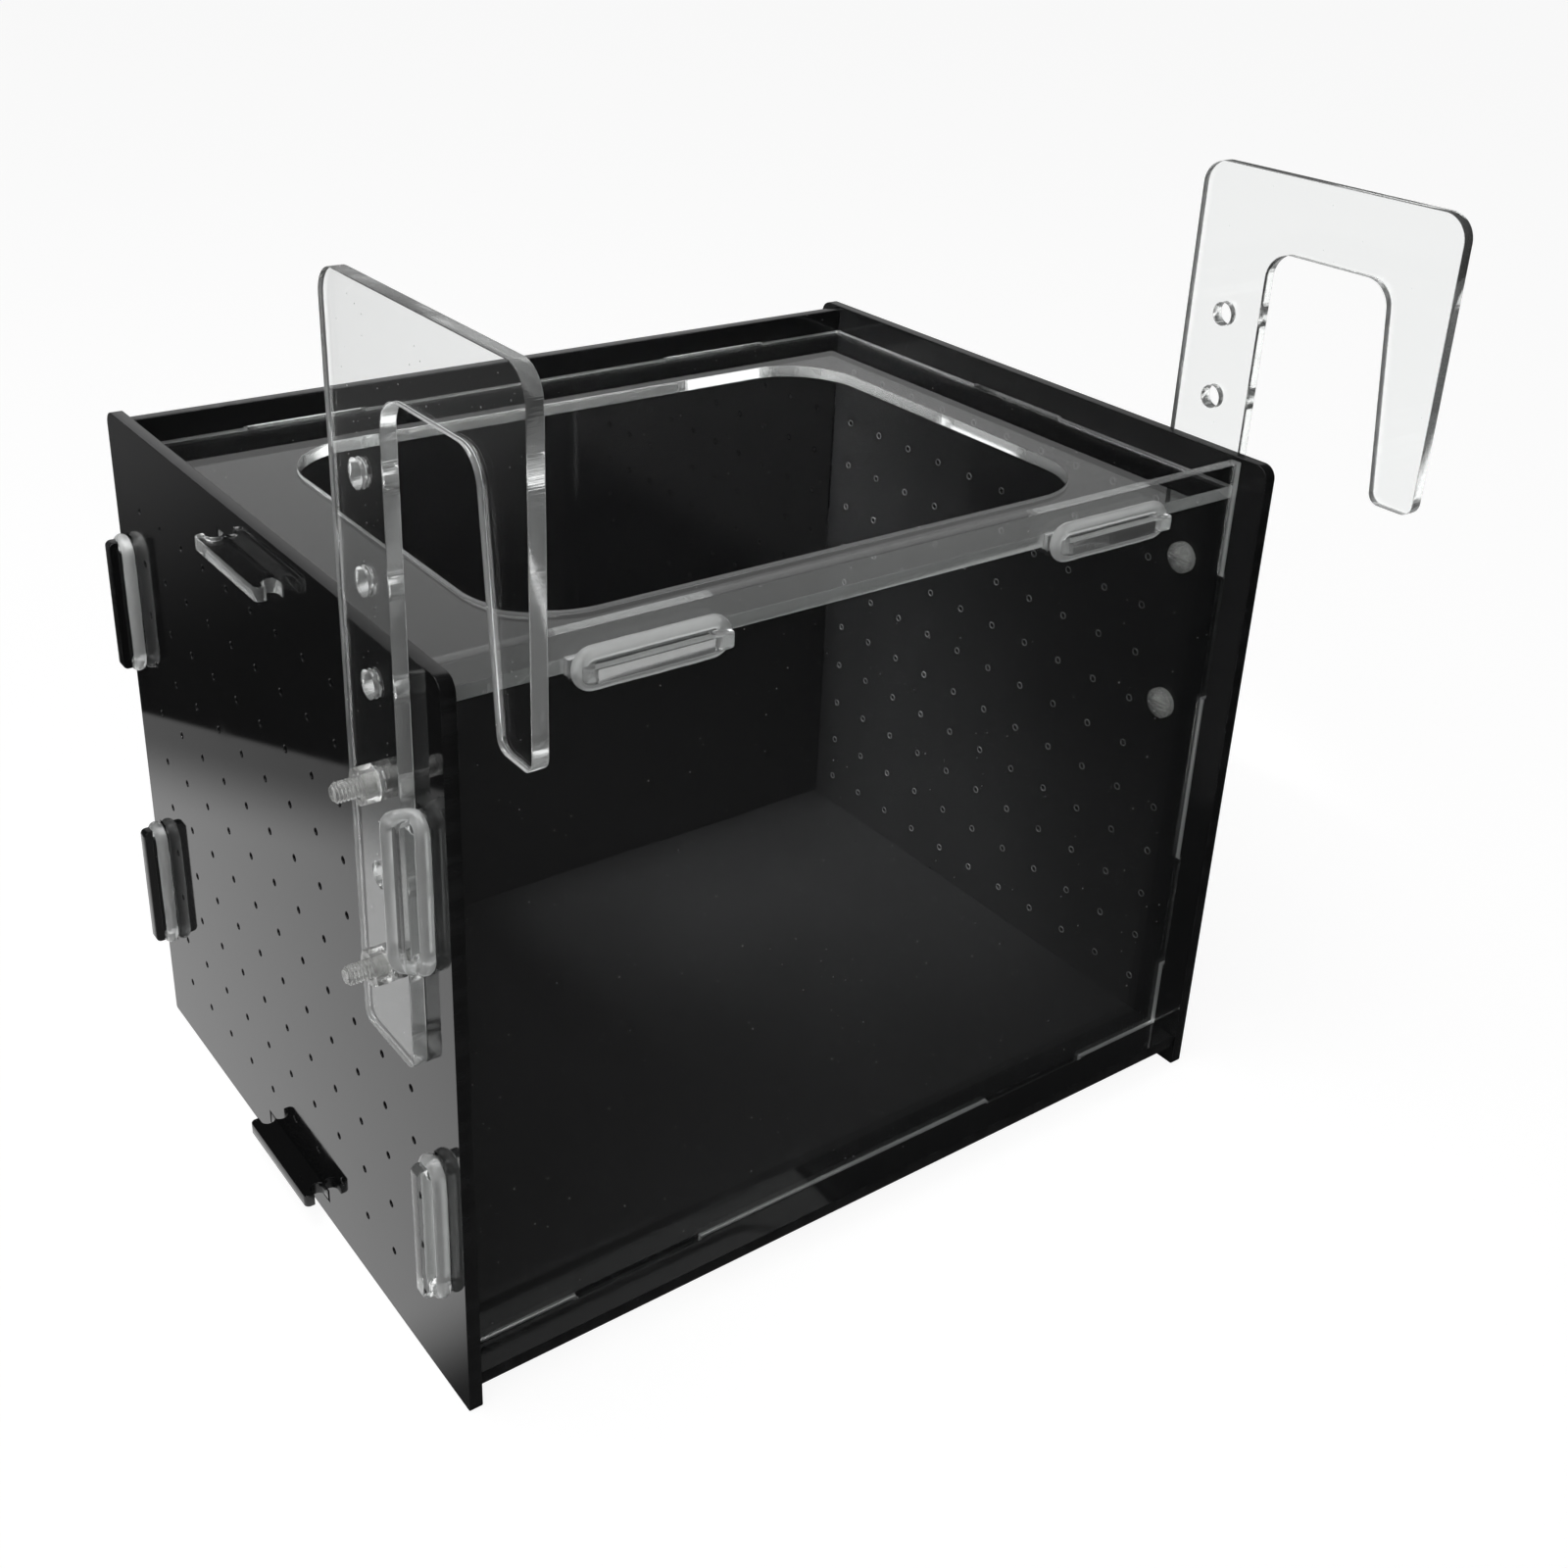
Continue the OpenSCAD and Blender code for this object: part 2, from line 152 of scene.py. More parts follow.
class Wiring:
    """Short calls for wiring up one node tree."""

    def __init__(self, tree: NodeTree) -> None:
        """Takes the tree to work in: of a material, the world, a group or a geometry recipe."""
        self.tree = tree

    @classmethod
    def blank(cls, owner: ID) -> "Wiring":
        """Clears the node tree of a material or of the world.

        Args:
            owner: The material or the world.

        Returns:
            The empty tree's wiring.
        """
        owner.use_nodes = True
        owner.node_tree.nodes.clear()
        return cls(owner.node_tree)

    def fill(self, node: Node, inputs: Inputs) -> None:
        """Links or sets a node's inputs.

        Args:
            node: The node.
            inputs: Sockets to link and values to set, by input name or number.
        """
        for key, value in inputs.items():
            if isinstance(value, NodeSocket):
                self.tree.links.new(value, node.inputs[key])
            else:
                node.inputs[key].default_value = value

    def add(self, kind: str, inputs: Inputs | None = None, **settings: Any) -> Node:
        """Adds a node.

        Args:
            kind: The node's type.
            inputs: As for fill().
            **settings: The node's own properties.

        Returns:
            The new node.
        """
        node = self.tree.nodes.new(kind)
        for name, value in settings.items():
            setattr(node, name, value)
        self.fill(node, inputs or {})
        return node

    def out(self, kind: str, inputs: Inputs | None = None, key: Any = 0, **settings: Any) -> NodeSocket:
        """Adds a node as add() does, and gives one of its outputs by name or number."""
        return self.add(kind, inputs, **settings).outputs[key]

    def math(self, operation: str, *values: Any) -> NodeSocket:
        """One step of arithmetic with sockets or numbers."""
        return self.out("ShaderNodeMath", dict(enumerate(values)), operation=operation)

    def times(self, first: Any, second: Any) -> NodeSocket:
        """Multiplies two values."""
        return self.math("MULTIPLY", first, second)

    def minus(self, first: Any, second: Any) -> NodeSocket:
        """Takes the second value from the first."""
        return self.math("SUBTRACT", first, second)

    def towards(self, first: Any, second: Any, share: Any) -> NodeSocket:
        """Goes from the first value to the second by a share of the way."""
        return self.math("MULTIPLY_ADD", self.minus(second, first), share, first)

    def vector(self, x: Any = 0.0, y: Any = 0.0, z: Any = 0.0) -> NodeSocket:
        """Makes a vector of its parts."""
        return self.out("ShaderNodeCombineXYZ", {0: x, 1: y, 2: z})

    def parts(self, kind: str, key: Any = 0) -> NodeOutputs:
        """Adds a node that puts out a vector, and splits the vector into its parts."""
        return self.add("ShaderNodeSeparateXYZ", {0: self.out(kind, key=key)}).outputs

    def noise(self, scale: Any, detail: float, **others: Any) -> NodeSocket:
        """A smooth random pattern."""
        return self.out("ShaderNodeTexNoise", {"Scale": scale, "Detail": detail, **others})

    def bump(self, height: Any, strength: float, distance: float) -> NodeSocket:
        """Turns a height into a bent normal."""
        inputs = {"Height": height, "Strength": strength, "Distance": distance}
        return self.out("ShaderNodeBump", inputs, key="Normal")

    def marks(self, group: str, inputs: Inputs | None = None) -> NodeOutputs:
        """Places a shared group of marks and gives its outputs."""
        return self.add("ShaderNodeGroup", inputs, node_tree=bpy.data.node_groups[group]).outputs

    def spread(self, value: Any, low: Any, high: Any, to_low: Any = 0.0, to_high: Any = 1.0) -> NodeSocket:
        """Carries a value smoothly from the range low to high to the range to_low to to_high."""
        inputs = {"Value": value, "From Min": low, "From Max": high, "To Min": to_low, "To Max": to_high}
        return self.out("ShaderNodeMapRange", inputs, interpolation_type="SMOOTHSTEP")

    def tint(self, share: Any, first: Any, second: Any) -> NodeSocket:
        """Mixes two colours.

        Args:
            share: How much of the second colour shows.
            first: A colour or a socket.
            second: A colour or a socket.

        Returns:
            The mixed colour's socket.
        """
        inputs = {0: share}
        for key, value in zip(MIX_COLOURS, (first, second)):
            inputs[key] = value if isinstance(value, NodeSocket) else (*value, 1.0)
        return self.out("ShaderNodeMix", inputs, key=MIX_RESULT, data_type="RGBA")


def shader_group(name: str, inputs: Inputs, outputs: tuple[str, ...]) -> tuple[Wiring, NodeOutputs, Node]:
    """Starts a shader node group.

    Args:
        name: The group's name.
        inputs: As for declare().
        outputs: Names of the float outputs.

    Returns:
        The group's wiring, its input node's outputs and its output node.
    """
    group = bpy.data.node_groups.new(name, "ShaderNodeTree")
    declare(group, inputs)
    for label in outputs:
        group.interface.new_socket(label, in_out="OUTPUT", socket_type="NodeSocketFloat")
    wiring = Wiring(group)
    return wiring, wiring.add("NodeGroupInput").outputs, wiring.add("NodeGroupOutput")


def handling_marks() -> None:
    """Makes the group of dust specks, finger smudges and faint clouding that every finish shares."""
    wiring, given, result = shader_group(
        "handling_marks",
        {"Specks per Metre": 420.0, "Speck Rarity": 6.0, "Speck Size": 0.09, "Smudge Scale": 22.0,
         "Cloud Scale": 9.0},
        ("Specks", "Smudges", "Cloud"))
    place = wiring.out("ShaderNodeTexCoord", key="Object")
    cells = wiring.add("ShaderNodeTexVoronoi", {"Vector": place, "Scale": given["Specks per Metre"]})
    chance = wiring.out("ShaderNodeSeparateColor", {0: cells.outputs["Color"]})
    size = wiring.times(wiring.math("POWER", chance, given["Speck Rarity"]), given["Speck Size"])
    smudge = wiring.noise(given["Smudge Scale"], 5.0, Vector=place, Roughness=0.62, Distortion=0.6)
    wiring.fill(result, {
        "Specks": wiring.math("LESS_THAN", cells.outputs["Distance"], size),
        "Smudges": wiring.spread(smudge, 0.5, 0.74),
        "Cloud": wiring.noise(given["Cloud Scale"], 2.0, Vector=place)})


def cutting_marks() -> None:
    """Makes the group of fine lines and melted ripples that the laser leaves on a cut wall."""
    wiring, given, result = shader_group(
        "cutting_marks",
        {"Flatten": (1.0, 1.0, 1.0), "Lines per Metre": 1500.0, "Ripples per Metre": 260.0},
        ("Lines", "Ripples"))
    place = wiring.out("ShaderNodeVectorMath", {0: wiring.out("ShaderNodeTexCoord", key="Object"),
                                                1: given["Flatten"]}, operation="MULTIPLY")
    wiring.fill(result, {
        "Lines": wiring.noise(given["Lines per Metre"], 3.0, Vector=place, Roughness=0.6),
        "Ripples": wiring.noise(given["Ripples per Metre"], 4.0, Vector=place, Roughness=0.6)})


class Finish:
    """What the finishes share: a material with one Principled shader."""

    name: str
    colour: Colour
    shadow_tint: float | None = None

    def start(self, suffix: str = "") -> tuple[Material, Wiring]:
        """Starts a material.

        Args:
            suffix: What the material's name has after the finish's.

        Returns:
            The material and its wiring.
        """
        material = bpy.data.materials.new(self.name + suffix)
        wiring = Wiring.blank(material)
        material.diffuse_color = (*self.colour, 1.0)
        return material, wiring

    def close(self, wiring: Wiring, inputs: Inputs) -> None:
        """Adds the shader, and lets light through a clear piece's shadow.

        Args:
            wiring: The material's wiring.
            inputs: The shader's inputs, as for Wiring.fill().
        """
        shader = wiring.out("ShaderNodeBsdfPrincipled", inputs)
        if self.shadow_tint is not None:
            clear = wiring.out("ShaderNodeBsdfTransparent", {0: (self.shadow_tint,) * 3 + (1.0,)})
            is_shadow = wiring.out("ShaderNodeLightPath", key="Is Shadow Ray")
            shader = wiring.out("ShaderNodeMixShader", {0: is_shadow, 1: shader, 2: clear})
        wiring.add("ShaderNodeOutputMaterial", {"Surface": shader})


class Acrylic(Finish):
    """The laser-cut walls, which black and clear sheets have alike but for their numbers."""

    wall_shades: tuple[Colour, Colour]
    ripple_span: Span
    wall_rough: Change
    wall_bump: Span
    wall_clearness: float = 0.0

    def wall(self, axis: Axis) -> Material:
        """The laser-cut walls of a sheet.

        Args:
            axis: The direction of the sheet's thickness.

        Returns:
            The material.
        """
        material, wiring = self.start(f"_wall_{axis.label}")
        lines, ripples = wiring.marks("cutting_marks", {"Flatten": axis.flattened})
        self.close(wiring, {
            "Base Color": wiring.tint(wiring.spread(ripples, *self.ripple_span), *self.wall_shades),
            "Roughness": wiring.spread(ripples, *self.wall_rough),
            "Normal": wiring.bump(lines, *self.wall_bump),
            "IOR": ACRYLIC_IOR, "Transmission Weight": self.wall_clearness})
        return material


@dataclass(frozen=True)
class BlackAcrylic(Acrylic):
    """Polished black cast acrylic: deep gloss with faint clouding, smudges and dust."""

    name: str = "black_acrylic"
    colour: Colour = (0.0115, 0.0117, 0.012)
    dust_colour: Colour = (0.09, 0.09, 0.088)
    roughness: float = 0.04
    smudge_roughness: float = 0.1
    dust_roughness: float = 0.4
    face_tones: Span = (0.86, 1.12)
    face_bump: Span = (0.35, 0.02 * MM)
    wall_tones: Span = (0.9, 1.8)
    ripple_span: Span = (0.35, 0.7)
    wall_rough: Change = (0.3, 0.7, 0.1, 0.22)
    wall_bump: Span = (0.3, 0.02 * MM)

    @property
    def wall_shades(self) -> tuple[Colour, Colour]:
        """The darkest and the lightest colour of a cut wall."""
        return tuple(toned(self.colour, tone) for tone in self.wall_tones)

    def face(self) -> Material:
        """The polished faces.

        Returns:
            The material.
        """
        material, wiring = self.start("_face")
        marks = wiring.marks("handling_marks")
        shade = wiring.tint(wiring.spread(marks["Cloud"], 0.3, 0.7),
                            *(toned(self.colour, tone) for tone in self.face_tones))
        rough = wiring.math("MULTIPLY_ADD", marks["Smudges"], self.smudge_roughness, self.roughness)
        self.close(wiring, {
            "Base Color": wiring.tint(marks["Specks"], shade, self.dust_colour),
            "Roughness": wiring.math("MULTIPLY_ADD", marks["Specks"], self.dust_roughness, rough),
            "Normal": wiring.bump(marks["Cloud"], *self.face_bump), "IOR": ACRYLIC_IOR})
        return material


@dataclass(frozen=True)
class ClearAcrylic(Acrylic):
    """Clear cast acrylic: bright faces with a trace of handling, and brilliant rippled cut walls."""

    name: str = "clear_acrylic"
    colour: Colour = (0.975, 0.985, 0.98)
    dust_colour: Colour = (0.7, 0.71, 0.7)
    speck_size: float = 0.07
    smudge_roughness: float = 0.035
    dust_roughness: float = 0.35
    wall_shades: tuple[Colour, Colour] = ((0.975, 0.985, 0.98), (0.9, 0.92, 0.91))
    ripple_span: Span = (0.3, 0.7)
    wall_rough: Change = (0.4, 0.75, 0.03, 0.22)
    wall_bump: Span = (0.6, 0.12 * MM)
    wall_clearness: float = 0.8
    shadow_tint: float = 0.86

    def face(self) -> Material:
        """The polished faces.

        Returns:
            The material.
        """
        material, wiring = self.start("_face")
        marks = wiring.marks("handling_marks", {"Speck Size": self.speck_size})
        rough = wiring.times(marks["Smudges"], self.smudge_roughness)
        self.close(wiring, {
            "Base Color": wiring.tint(marks["Specks"], self.colour, self.dust_colour),
            "Roughness": wiring.math("MULTIPLY_ADD", marks["Specks"], self.dust_roughness, rough),
            "IOR": ACRYLIC_IOR, "Transmission Weight": 1.0})
        return material


@dataclass(frozen=True)
class Milky(Finish):
    """A translucent moulded finish, for the plastic screws and nuts and for the elastic rings."""

    name: str
    colour: Colour
    clearness: float
    ior: float
    roughness: Span
    grain_scale: float
    grain_height: float
    shadow_tint: float = 0.7
    smudge_scale: float = 180.0
    smudge_roughness: float = 0.08
    thin_tone: float = 0.93

    def build(self) -> Material:
        """Builds the material.

        Returns:
            The material.
        """
        material, wiring = self.start()
        marks = wiring.marks("handling_marks", {"Smudge Scale": self.smudge_scale})
        place = wiring.out("ShaderNodeTexCoord", key="Object")
        flow = wiring.noise(self.grain_scale, 4.0, Vector=place, Distortion=0.8)
        darker = toned(self.colour, self.thin_tone)
        rough = wiring.spread(flow, 0.25, 0.75, *self.roughness)
        self.close(wiring, {
            "Base Color": wiring.tint(wiring.spread(flow, 0.3, 0.7), darker, self.colour),
            "Roughness": wiring.math("MULTIPLY_ADD", marks["Smudges"], self.smudge_roughness, rough),
            "Normal": wiring.bump(flow, 0.4, self.grain_height),
            "IOR": self.ior, "Transmission Weight": self.clearness})
        return material


MELTED = BlackAcrylic("black_acrylic_melted", (0.075, 0.076, 0.077))
NYLON = Milky("clear_nylon", (0.93, 0.935, 0.92), clearness=0.86, ior=1.53, roughness=(0.06, 0.24),
              grain_scale=640.0, grain_height=0.12 * MM)
RUBBER = Milky("ring_rubber", (0.93, 0.94, 0.935), clearness=0.68, ior=1.41, roughness=(0.08, 0.18),
               grain_scale=110.0, grain_height=0.01 * MM)


def piece_of(name: str, bm: BMesh, *materials: Material) -> Object:
    """Makes an object of a mesh in the making.

    Args:
        name: The piece's name.
        bm: The mesh, which is freed.
        *materials: The materials, in the order of the faces' numbers.

    Returns:
        The new object.
    """
    mesh = bpy.data.meshes.new(name)
    bm.to_mesh(mesh)
    bm.free()
    for material in materials:
        mesh.materials.append(material)
    return linked(name, mesh)


def seat(piece: Object, body: str, slot: str, *nodes: str) -> None:
    """Hangs a piece on its body and hides the CAD nodes that it stands for.

    Args:
        piece: The finished piece.
        body: The CAD body that it moves with.
        slot: The record's material slot; not used.
        *nodes: The CAD nodes that it stands for.
    """
    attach(piece, body)
    if nodes:
        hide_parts(*nodes)
    LOG.info("%-28s rides on %-18s %6d faces", piece.name, body, len(piece.data.polygons))


@dataclass
class CutSheet:
    """One laser-cut sheet, rebuilt from the outline of its CAD node with eased edges."""

    shop: "Workshop"
    node: str
    axis: Axis
    body: str
    slot: str
    ease: float = 0.16 * MM
    air: float = 0.02 * MM
    ease_steps: int = 2
    corner_angle: float = math.radians(22)
    shortest: float = 0.03 * MM
    straight: float = math.radians(0.05)
    same_place: float = 1e-6
    flat_gap: float = 1e-5

    def outline(self) -> tuple[list[Loop], float, float]:
        """Reads the outline of the sheet's upper face.

        Returns:
            The closed loops with the material on their left, and the sheet's lower and upper height
            along its axis.
        """
        bm = bmesh.new()
        bm.from_mesh(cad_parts[self.node].data)
        bmesh.ops.remove_doubles(bm, verts=bm.verts, dist=self.same_place)
        low, high = (corner[self.axis.value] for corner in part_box(self.node))
        u, v = self.axis.across
        on_top = {p for p in bm.verts if abs(p.co[self.axis.value] - high) < self.same_place}
        face_tops = {face for face in bm.faces if on_top.issuperset(face.verts)}
        following: dict[Any, Any] = {}
        for corner in (corner for face in face_tops for corner in face.loops):
            if sum(other in face_tops for other in corner.edge.link_faces) == 1:
                following[corner.vert] = corner.link_loop_next.vert
        loops: list[Loop] = []
        while following:
            start, vert = following.popitem()
            loop = [start]
            while vert is not start:
                loop.append(vert)
                vert = following.pop(vert)
            loops.append(self.tidied([Vector((p.co[u], p.co[v])) for p in loop]))
        bm.free()
        return loops, low, high

    def tidied(self, loop: Loop) -> Loop:
        """Drops points that lie too close together, or in line with their neighbours.

        Args:
            loop: The points as read.

        Returns:
            The points that matter.
        """
        spaced: Loop = []
        for point in loop:
            if not spaced or (point - spaced[-1]).length > self.shortest:
                spaced.append(point)
        while (spaced[0] - spaced[-1]).length <= self.shortest:
            spaced.pop()
        turns = ((point - spaced[i - 1]).angle(spaced[(i + 1) % len(spaced)] - point)
                 for i, point in enumerate(spaced))
        return [point for point, turn in zip(spaced, turns)
                if self.straight < turn < math.pi - self.straight]

    @staticmethod
    def inset(loop: Loop, distance: float) -> Loop:
        """Moves a loop into the material.

        Args:
            loop: The points, material on the left.
            distance: How far.

        Returns:
            The moved points.
        """
        moved = []
        for i, point in enumerate(loop):
            left_0 = (point - loop[i - 1]).normalized().orthogonal()
            left_1 = (loop[(i + 1) % len(loop)] - point).normalized().orthogonal()
            moved.append(point + (left_0 + left_1) * (distance / (1 + left_0.dot(left_1))))
        return moved

    def build(self) -> None:
        """Builds the sheet, with one finish on its two faces and another on its cut walls."""
        loops, low, high = self.outline()
        low, high = low + self.air, high - self.air
        steps = [k / self.ease_steps * math.pi / 2 for k in range(self.ease_steps + 1)]
        upper = [(self.ease * (1 - math.sin(a)), high - self.ease * (1 - math.cos(a))) for a in steps]
        rings = upper + [(inset, low + high - height) for inset, height in reversed(upper)]
        u, v = self.axis.across
        bm = bmesh.new()
        walls: list[list[Ring]] = []
        for loop in loops:
            columns = []
            for inset, height in rings:
                row = []
                for point in self.inset(loop, inset + self.air):
                    place = Vector((0.0, 0.0, 0.0))
                    place[u], place[v], place[self.axis.value] = point.x, point.y, height
                    row.append(bm.verts.new(place))
                columns.append(row)
            walls.append(columns)
            self.skin(bm, columns, loop)
        for end in (0, -1):
            self.cover(bm, [columns[end] for columns in walls])
        bmesh.ops.recalc_face_normals(bm, faces=bm.faces)
        face, wall = self.shop.faces[self.slot], self.shop.walls[self.slot, self.axis]
        seat(piece_of(f"{self.node}_cut", bm, face, wall), self.body, self.slot, self.node)

    def cover(self, bm: BMesh, rows: list[Ring]) -> None:
        """Covers one face of the sheet, leaving its holes and slots open.

        Args:
            bm: The mesh in the making.
            rows: The face's rings of vertices.
        """
        u, v = self.axis.across
        verts = [p for row in rows for p in row]
        flat = [Vector((p.co[u], p.co[v])) / MM for p in verts]
        number = {p: i for i, p in enumerate(verts)}
        outlines = [[number[p] for p in row] for row in rows]
        _, _, faces, origins, _, _ = delaunay_2d_cdt(flat, [], outlines, INSIDE_WITH_HOLES, self.flat_gap)
        for corners in faces:
            bm.faces.new([verts[origins[i][0]] for i in corners])

    def skin(self, bm: BMesh, columns: list[Ring], loop: Loop) -> None:
        """Closes the wall between the rings of one loop.

        Args:
            bm: The mesh in the making.
            columns: The rings of vertices, from the upper face to the lower one.
            loop: The loop that they follow.
        """
        count = len(loop)
        for row, below in zip(columns, columns[1:]):
            for i in range(count):
                j = (i + 1) % count
                quad = bm.faces.new((row[i], below[i], below[j], row[j]))
                quad.smooth = True
                quad.material_index = 1
        for i, point in enumerate(loop):
            before, after = point - loop[i - 1], loop[(i + 1) % count] - point
            if before.angle(after) > self.corner_angle:
                for row, below in zip(columns, columns[1:]):
                    bm.edges.get((row[i], below[i])).smooth = False


class Recipe:
    """A geometry node tree with named inputs, and the way a piece is made from it."""

    def __init__(self, name: str, inputs: Inputs) -> None:
        """Starts the tree.

        Args:
            name: The tree's name.
            inputs: As for declare(); a material input is added.
        """
        self.tree = bpy.data.node_groups.new(name, "GeometryNodeTree")
        declare(self.tree, inputs)
        self.tree.interface.new_socket("Material", in_out="INPUT", socket_type="NodeSocketMaterial")
        self.tree.interface.new_socket("Mesh", in_out="OUTPUT", socket_type="NodeSocketGeometry")
        self.wiring = Wiring(self.tree)
        self.given = self.wiring.add("NodeGroupInput").outputs

    def finish(self, shape: NodeSocket) -> None:
        """Ends the tree.

        Args:
            shape: The geometry to put out.
        """
        real = self.wiring.out("GeometryNodeRealizeInstances", {0: shape})
        dressed = self.wiring.out("GeometryNodeSetMaterial", {
            "Geometry": real, "Material": self.given["Material"]})
        self.wiring.add("NodeGroupOutput", {0: dressed})

    def moved(self, shape: NodeSocket, place: Any, tilt: Any = None) -> NodeSocket:
        """Turns a shape and moves it.

        Args:
            shape: The geometry.
            place: How far it moves.
            tilt: Its turn, if it has one.

        Returns:
            The moved geometry's socket.
        """
        inputs = {"Geometry": shape, "Translation": place}
        if tilt is not None:
            inputs["Rotation"] = self.wiring.out("FunctionNodeEulerToRotation", {0: tilt})
        return self.wiring.out("GeometryNodeTransform", inputs)

    def make(self, name: str, values: Inputs, material: Material) -> Object:
        """Makes a plain mesh piece.

        Args:
            name: The piece's name.
            values: The inputs that differ from their defaults.
            material: The finish.

        Returns:
            The piece.
        """
        holder = linked(f"{name}_holder", bpy.data.meshes.new(f"{name}_holder"))
        modifier = holder.modifiers.new("recipe", "NODES")
        modifier.node_group = self.tree
        chosen = {**values, "Material": material}
        for item in self.tree.interface.items_tree:
            if item.item_type == "SOCKET" and item.in_out == "INPUT" and item.name in chosen:
                modifier[item.identifier] = chosen[item.name]
        bpy.context.view_layer.update()
        evaluated = holder.evaluated_get(bpy.context.evaluated_depsgraph_get())
        mesh = bpy.data.meshes.new_from_object(evaluated)
        mesh.name = name
        bpy.data.objects.remove(holder)
        return linked(name, mesh)


def stretched_ring() -> Recipe:
    """A round elastic cord pulled into a long loop round a tab, one run lifted over a hook's edge.

    Returns:
        The recipe.
    """
    recipe = Recipe("stretched_ring", {
        "Length": 0.0316, "Gape": 0.006, "Turn": 0.003, "Cord Radius": 0.0015, "Lift": 0.0,
        "Lift From": -0.0006, "Lift To": 0.0024, "Swells per Metre": 160.0, "Thinnest": 0.93, **PLACING})
    wiring, given = recipe.wiring, recipe.given
    line = wiring.out("GeometryNodeCurvePrimitiveQuadrilateral",
                      {"Width": given["Length"], "Height": given["Gape"]})
    line = wiring.out("GeometryNodeFilletCurve", {"Curve": line, "Count": 14, "Radius": given["Turn"],
                                                 "Limit Radius": True}, mode="POLY")
    line = wiring.out("GeometryNodeResampleCurve", {"Curve": line, "Count": 120})
    across = wiring.parts("GeometryNodeInputPosition")[1]
    rise = wiring.times(wiring.spread(across, given["Lift From"], given["Lift To"]), given["Lift"])
    line = wiring.out("GeometryNodeSetPosition", {"Geometry": line, "Offset": wiring.vector(z=rise)})
    swell = wiring.noise(given["Swells per Metre"], 1.0)
    line = wiring.out("GeometryNodeSetCurveRadius", {
        "Curve": line, "Radius": wiring.spread(swell, 0.2, 0.8, given["Thinnest"], 1.0)})
    section = wiring.out("GeometryNodeCurvePrimitiveCircle", {
        "Resolution": 20, "Radius": given["Cord Radius"]})
    tube = wiring.out("GeometryNodeCurveToMesh", {
        "Curve": line, "Profile Curve": section, "Scale": wiring.out("GeometryNodeInputRadius")})
    placed = recipe.moved(tube, given["Place"], given["Tilt"])
    recipe.finish(wiring.out("GeometryNodeSetShadeSmooth", {0: placed}))
    return recipe


def threaded_screw() -> Recipe:
    """A plastic screw: threaded shank, domed head and screwdriver slot, pointing along +Z.

    Returns:
        The recipe.
    """
    recipe = Recipe("threaded_screw", {
        "Length": 0.014, "Thread Radius": 0.002, "Thread Depth": 0.0004, "Pitch": 0.0007,
        "Tip Taper": 0.0008, "Head Radius": 0.0038, "Head Height": 0.0026, "Head Gap": 0.00002,
        "Dome Radius": 0.00608, "Slot Width": 0.0011, "Slot Length": 0.02, "Slot Depth": 0.0012, **PLACING})
    wiring, given = recipe.wiring, recipe.given
    x, y, z = wiring.parts("GeometryNodeInputPosition")
    half = wiring.times(given["Length"], 0.5)
    turns = wiring.math("DIVIDE", wiring.math("ARCTAN2", y, x), 2 * math.pi)
    phase = wiring.math("FRACT", wiring.minus(wiring.math("DIVIDE", z, given["Pitch"]), turns))
    ridge = wiring.math("ABSOLUTE", wiring.math("MULTIPLY_ADD", phase, 2.0, -1.0))
    taper = wiring.spread(wiring.minus(half, z), 0.0, given["Tip Taper"], 1.6, 0.0)
    groove = wiring.math("MAXIMUM", wiring.spread(ridge, 0.25, 0.95), taper)
    cut = wiring.math("DIVIDE", wiring.times(groove, given["Thread Depth"]), given["Thread Radius"])
    share = wiring.minus(1.0, cut)
    shank, head = (
        wiring.out("GeometryNodeMeshCylinder", {
            "Vertices": around, "Side Segments": along, "Fill Segments": across,
            "Radius": given[radius], "Depth": given[depth]}, fill_type="TRIANGLE_FAN")
        for around, along, across, radius, depth in (
            (40, 160, 2, "Thread Radius", "Length"), (64, 1, 10, "Head Radius", "Head Height")))
    shank = wiring.out("GeometryNodeSetPosition", {
        "Geometry": shank, "Position": wiring.vector(wiring.times(x, share), wiring.times(y, share), z)})
    shank = recipe.moved(shank, wiring.vector(z=half))
    half_head = wiring.times(given["Head Height"], 0.5)
    out_sq = wiring.math("ADD", wiring.times(x, x), wiring.times(y, y))
    rise = wiring.math("SQRT", wiring.minus(wiring.math("POWER", given["Dome Radius"], 2.0), out_sq))
    dome_z = wiring.minus(wiring.minus(given["Dome Radius"], rise), half_head)
    head = wiring.out("GeometryNodeSetPosition", {
        "Geometry": head, "Position": wiring.vector(x, y, dome_z),
        "Selection": wiring.math("LESS_THAN", z, 0.0)})
    slot_height = wiring.times(given["Slot Depth"], 2.0)
    slot = wiring.out("GeometryNodeMeshCube", {
        "Size": wiring.vector(given["Slot Width"], given["Slot Length"], slot_height)})
    lower = wiring.times(half_head, -1.0)
    slot = recipe.moved(slot, wiring.vector(z=lower))
    head = wiring.out("GeometryNodeMeshBoolean", {"Mesh 1": head, "Mesh 2": slot}, operation="DIFFERENCE")
    head = recipe.moved(head, wiring.vector(z=wiring.minus(lower, given["Head Gap"])))
    joined = wiring.add("GeometryNodeJoinGeometry")
    for part in (head, shank):
        wiring.fill(joined, {0: part})
    recipe.finish(recipe.moved(joined.outputs[0], given["Place"], given["Tilt"]))
    return recipe


